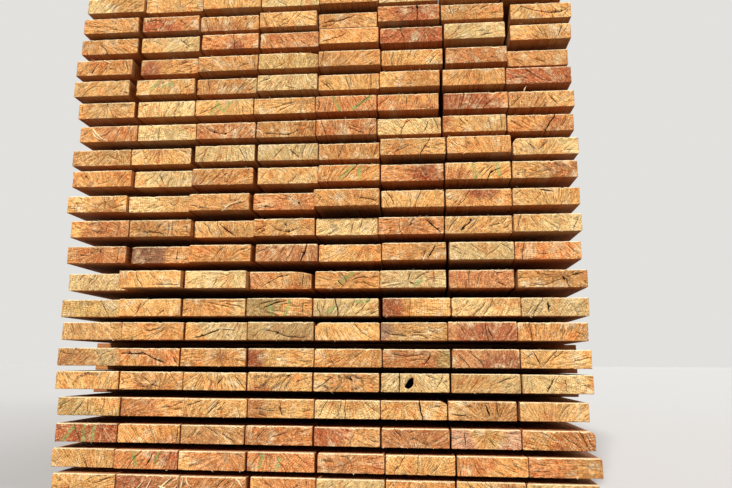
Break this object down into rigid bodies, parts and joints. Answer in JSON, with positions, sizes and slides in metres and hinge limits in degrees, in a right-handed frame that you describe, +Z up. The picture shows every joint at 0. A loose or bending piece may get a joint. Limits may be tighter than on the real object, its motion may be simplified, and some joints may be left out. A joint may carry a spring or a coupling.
{
  "type": "stack of lumber",
  "caption": "Stack of rough-sawn boards laid in layers, with thin sticks between the layers so that air dries the wood.",
  "frame": {"origin": "on the floor, under the middle of the stack's bounding box", "axes": "+X across the stack to the right as seen from the front ends, +Y along the boards away from the front ends, +Z up"},
  "size_m": [1.2648, 3.0638, 1.206],
  "materials": {
    "sawn_board": "rough-sawn softwood, weathered ends with growth rings and drying checks",
    "stick": "rough-sawn softwood sticks, greyed"
  },
  "bodies": {
    "root": {"board_layer_01": "sawn_board", "board_layer_02": "sawn_board", "board_layer_03": "sawn_board", "board_layer_04": "sawn_board", "board_layer_05": "sawn_board", "board_layer_06": "sawn_board", "board_layer_07": "sawn_board", "board_layer_08": "sawn_board", "board_layer_09": "sawn_board", "board_layer_10": "sawn_board", "board_layer_11": "sawn_board", "board_layer_12": "sawn_board", "board_layer_13": "sawn_board", "board_layer_14": "sawn_board", "board_layer_15": "sawn_board", "board_layer_16": "sawn_board", "board_layer_17": "sawn_board", "board_layer_18": "sawn_board", "board_layer_19": "sawn_board", "board_layer_20": "sawn_board", "board_layer_21": "sawn_board", "stick_row_1": "stick", "stick_row_2": "stick", "stick_row_3": "stick", "stick_row_4": "stick", "stick_row_5": "stick"}
  },
  "joints": []
}
